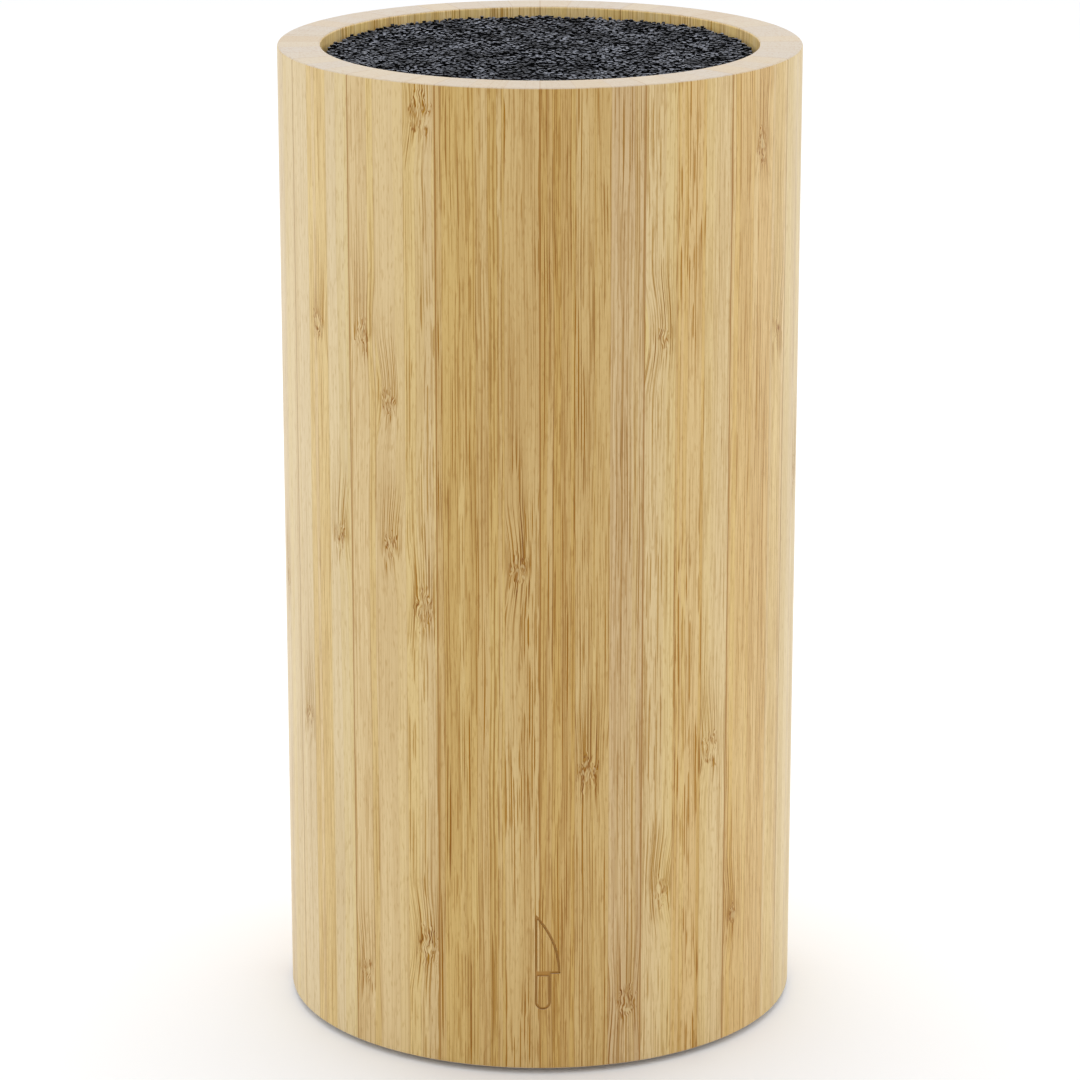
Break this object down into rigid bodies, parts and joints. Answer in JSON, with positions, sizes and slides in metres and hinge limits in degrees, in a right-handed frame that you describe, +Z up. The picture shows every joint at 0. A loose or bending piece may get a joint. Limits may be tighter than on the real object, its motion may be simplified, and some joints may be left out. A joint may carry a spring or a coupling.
{
  "type": "round knife block with rod insert",
  "caption": "Upright bamboo cylinder that stores knives point down between the flexible plastic rods of a lift-out insert.",
  "frame": {"origin": "centre of the round footprint, on the surface that the feet stand on", "axes": "+Z up along the axis of the cylinder; -Y is the front, where the engraved mark is; +X to the right of a viewer who faces the front"},
  "size_m": [0.11, 0.11, 0.21],
  "materials": {
    "bamboo": "laminated bamboo, sanded and oiled, satin",
    "bamboo_base": "laminated bamboo board, sanded",
    "feet": "matt black rubber",
    "cup": "moulded black polypropylene, matt",
    "rods": "extruded black polypropylene, satin"
  },
  "bodies": {
    "block": {"stave_01": "bamboo", "stave_02": "bamboo", "stave_03": "bamboo", "stave_04": "bamboo", "stave_05": "bamboo", "stave_06": "bamboo", "stave_07": "bamboo", "stave_08": "bamboo", "stave_09": "bamboo", "stave_10": "bamboo", "stave_11": "bamboo", "stave_12": "bamboo", "stave_13": "bamboo", "stave_14": "bamboo", "stave_15": "bamboo", "stave_16": "bamboo", "base_disc": "bamboo_base", "foot_1": "feet", "foot_2": "feet", "foot_3": "feet", "foot_4": "feet"},
    "insert": {"insert_cup": "cup", "rod_root_plate": "rods", "rod_bundle": "rods"}
  },
  "joints": [
    {"name": "insert_lift", "type": "slide", "parent": "block", "child": "insert", "axis": [0, 0, 1], "range_m": [0, 0.2]}
  ]
}
